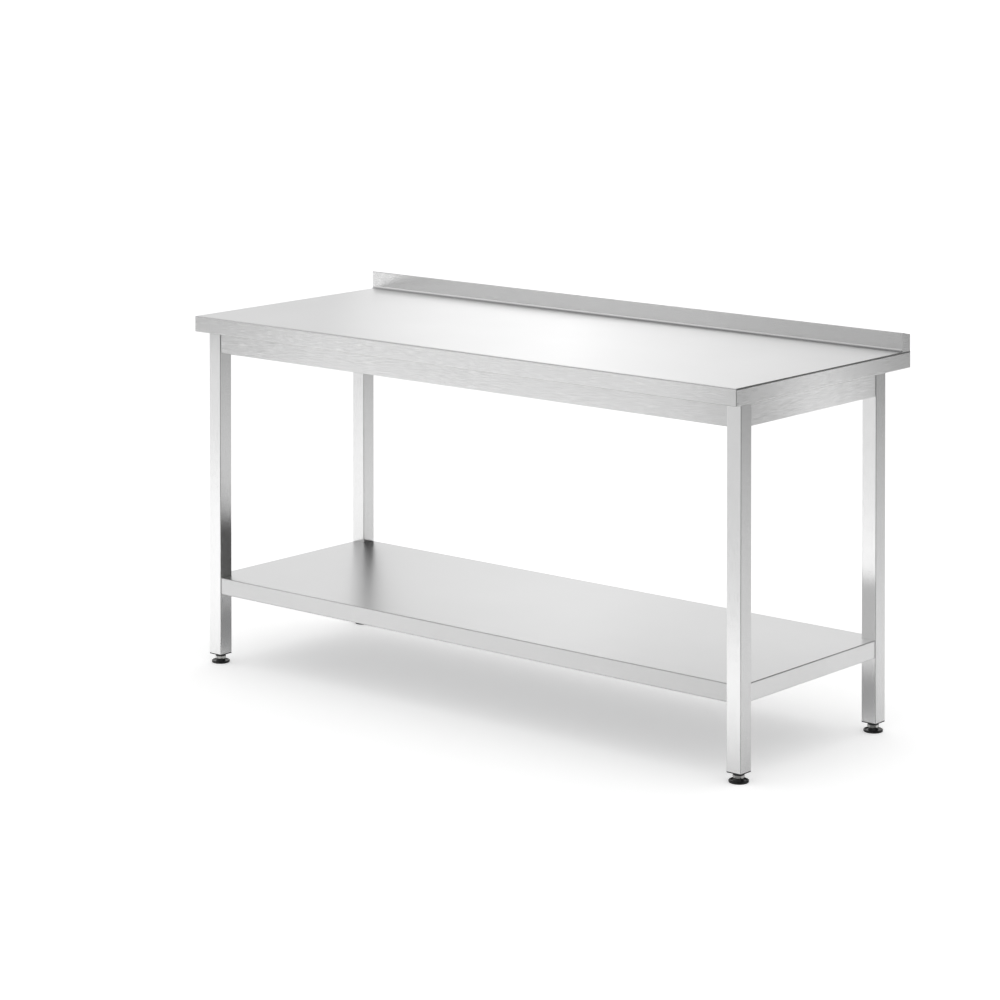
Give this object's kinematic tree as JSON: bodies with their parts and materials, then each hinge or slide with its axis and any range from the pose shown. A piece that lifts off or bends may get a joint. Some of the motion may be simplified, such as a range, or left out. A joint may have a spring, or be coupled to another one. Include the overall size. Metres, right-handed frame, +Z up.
{
  "type": "stainless work table",
  "caption": "Free-standing kitchen work table: folded stainless top with a low rear upstand, square tube legs, a lower shelf and screw-adjusted levelling feet.",
  "frame": {"origin": "on the floor, below the centre of the worktop", "axes": "+X along the table's length, +Y towards the rear upstand, +Z up"},
  "size_m": [1.7, 0.7, 0.9355],
  "materials": {
    "stainless_worktop": "fine grain along the length, satin",
    "stainless_frame": "fine grain along each apron, satin",
    "stainless_leg": "ground tube, grain along the leg",
    "stainless_shelf": "fine grain along the length, satin",
    "galvanised_sheet": "galvanised, dull",
    "laminated_board": "laminated chipboard, light grey film below",
    "black_plastic": "moulded, matte",
    "pad_plastic": "moulded, slightly glossy",
    "zinc_foot": "zinc plated",
    "zinc_fastener": "zinc plated"
  },
  "bodies": {
    "table": {"worktop": "stainless_worktop", "worktop_core": "laminated_board", "centre_brace": "galvanised_sheet", "front_apron": "stainless_frame", "rear_apron": "stainless_frame", "left_apron": "stainless_frame", "right_apron": "stainless_frame", "leg_front_left": "stainless_leg", "leg_front_right": "stainless_leg", "leg_rear_left": "stainless_leg", "leg_rear_right": "stainless_leg", "lower_shelf": "stainless_shelf", "shelf_stiffener_front": "galvanised_sheet", "shelf_stiffener_rear": "galvanised_sheet", "leg_plug_front_left": "black_plastic", "leg_plug_front_right": "black_plastic", "leg_plug_rear_left": "black_plastic", "leg_plug_rear_right": "black_plastic", "foot_nut_front_left": "zinc_fastener", "foot_nut_front_right": "zinc_fastener", "foot_nut_rear_left": "zinc_fastener", "foot_nut_rear_right": "zinc_fastener", "apron_bolts": "zinc_fastener", "shelf_bolts": "zinc_fastener", "bolt_washers": "zinc_fastener", "rivet_nuts": "zinc_fastener", "core_screws": "zinc_fastener"},
    "pad_front_left": {"foot_pad_front_left": "pad_plastic"},
    "stem_front_left": {"foot_stem_front_left": "zinc_foot"},
    "pad_front_right": {"foot_pad_front_right": "pad_plastic"},
    "stem_front_right": {"foot_stem_front_right": "zinc_foot"},
    "pad_rear_left": {"foot_pad_rear_left": "pad_plastic"},
    "stem_rear_left": {"foot_stem_rear_left": "zinc_foot"},
    "pad_rear_right": {"foot_pad_rear_right": "pad_plastic"},
    "stem_rear_right": {"foot_stem_rear_right": "zinc_foot"}
  },
  "joints": [
    {"name": "foot_travel_front_left", "type": "slide", "parent": "table", "child": "pad_front_left", "axis": [0, 0, -1], "range_m": [0, 0.025]},
    {"name": "foot_turn_front_left", "type": "hinge", "parent": "pad_front_left", "child": "stem_front_left", "pos_m": [-0.816, -0.293, 0.013], "axis": [0, 0, -1], "range_deg": [0, 6000]},
    {"name": "foot_travel_front_right", "type": "slide", "parent": "table", "child": "pad_front_right", "axis": [0, 0, -1], "range_m": [0, 0.025]},
    {"name": "foot_turn_front_right", "type": "hinge", "parent": "pad_front_right", "child": "stem_front_right", "pos_m": [0.816, -0.293, 0.013], "axis": [0, 0, -1], "range_deg": [0, 6000]},
    {"name": "foot_travel_rear_left", "type": "slide", "parent": "table", "child": "pad_rear_left", "axis": [0, 0, -1], "range_m": [0, 0.025]},
    {"name": "foot_turn_rear_left", "type": "hinge", "parent": "pad_rear_left", "child": "stem_rear_left", "pos_m": [-0.816, 0.245, 0.013], "axis": [0, 0, -1], "range_deg": [0, 6000]},
    {"name": "foot_travel_rear_right", "type": "slide", "parent": "table", "child": "pad_rear_right", "axis": [0, 0, -1], "range_m": [0, 0.025]},
    {"name": "foot_turn_rear_right", "type": "hinge", "parent": "pad_rear_right", "child": "stem_rear_right", "pos_m": [0.816, 0.245, 0.013], "axis": [0, 0, -1], "range_deg": [0, 6000]}
  ],
  "couplings": [
    {"joint": "foot_turn_front_left", "follows": "foot_travel_front_left", "rad_per_m": 4188.8},
    {"joint": "foot_turn_front_right", "follows": "foot_travel_front_right", "rad_per_m": 4188.8},
    {"joint": "foot_turn_rear_left", "follows": "foot_travel_rear_left", "rad_per_m": 4188.8},
    {"joint": "foot_turn_rear_right", "follows": "foot_travel_rear_right", "rad_per_m": 4188.8}
  ]
}
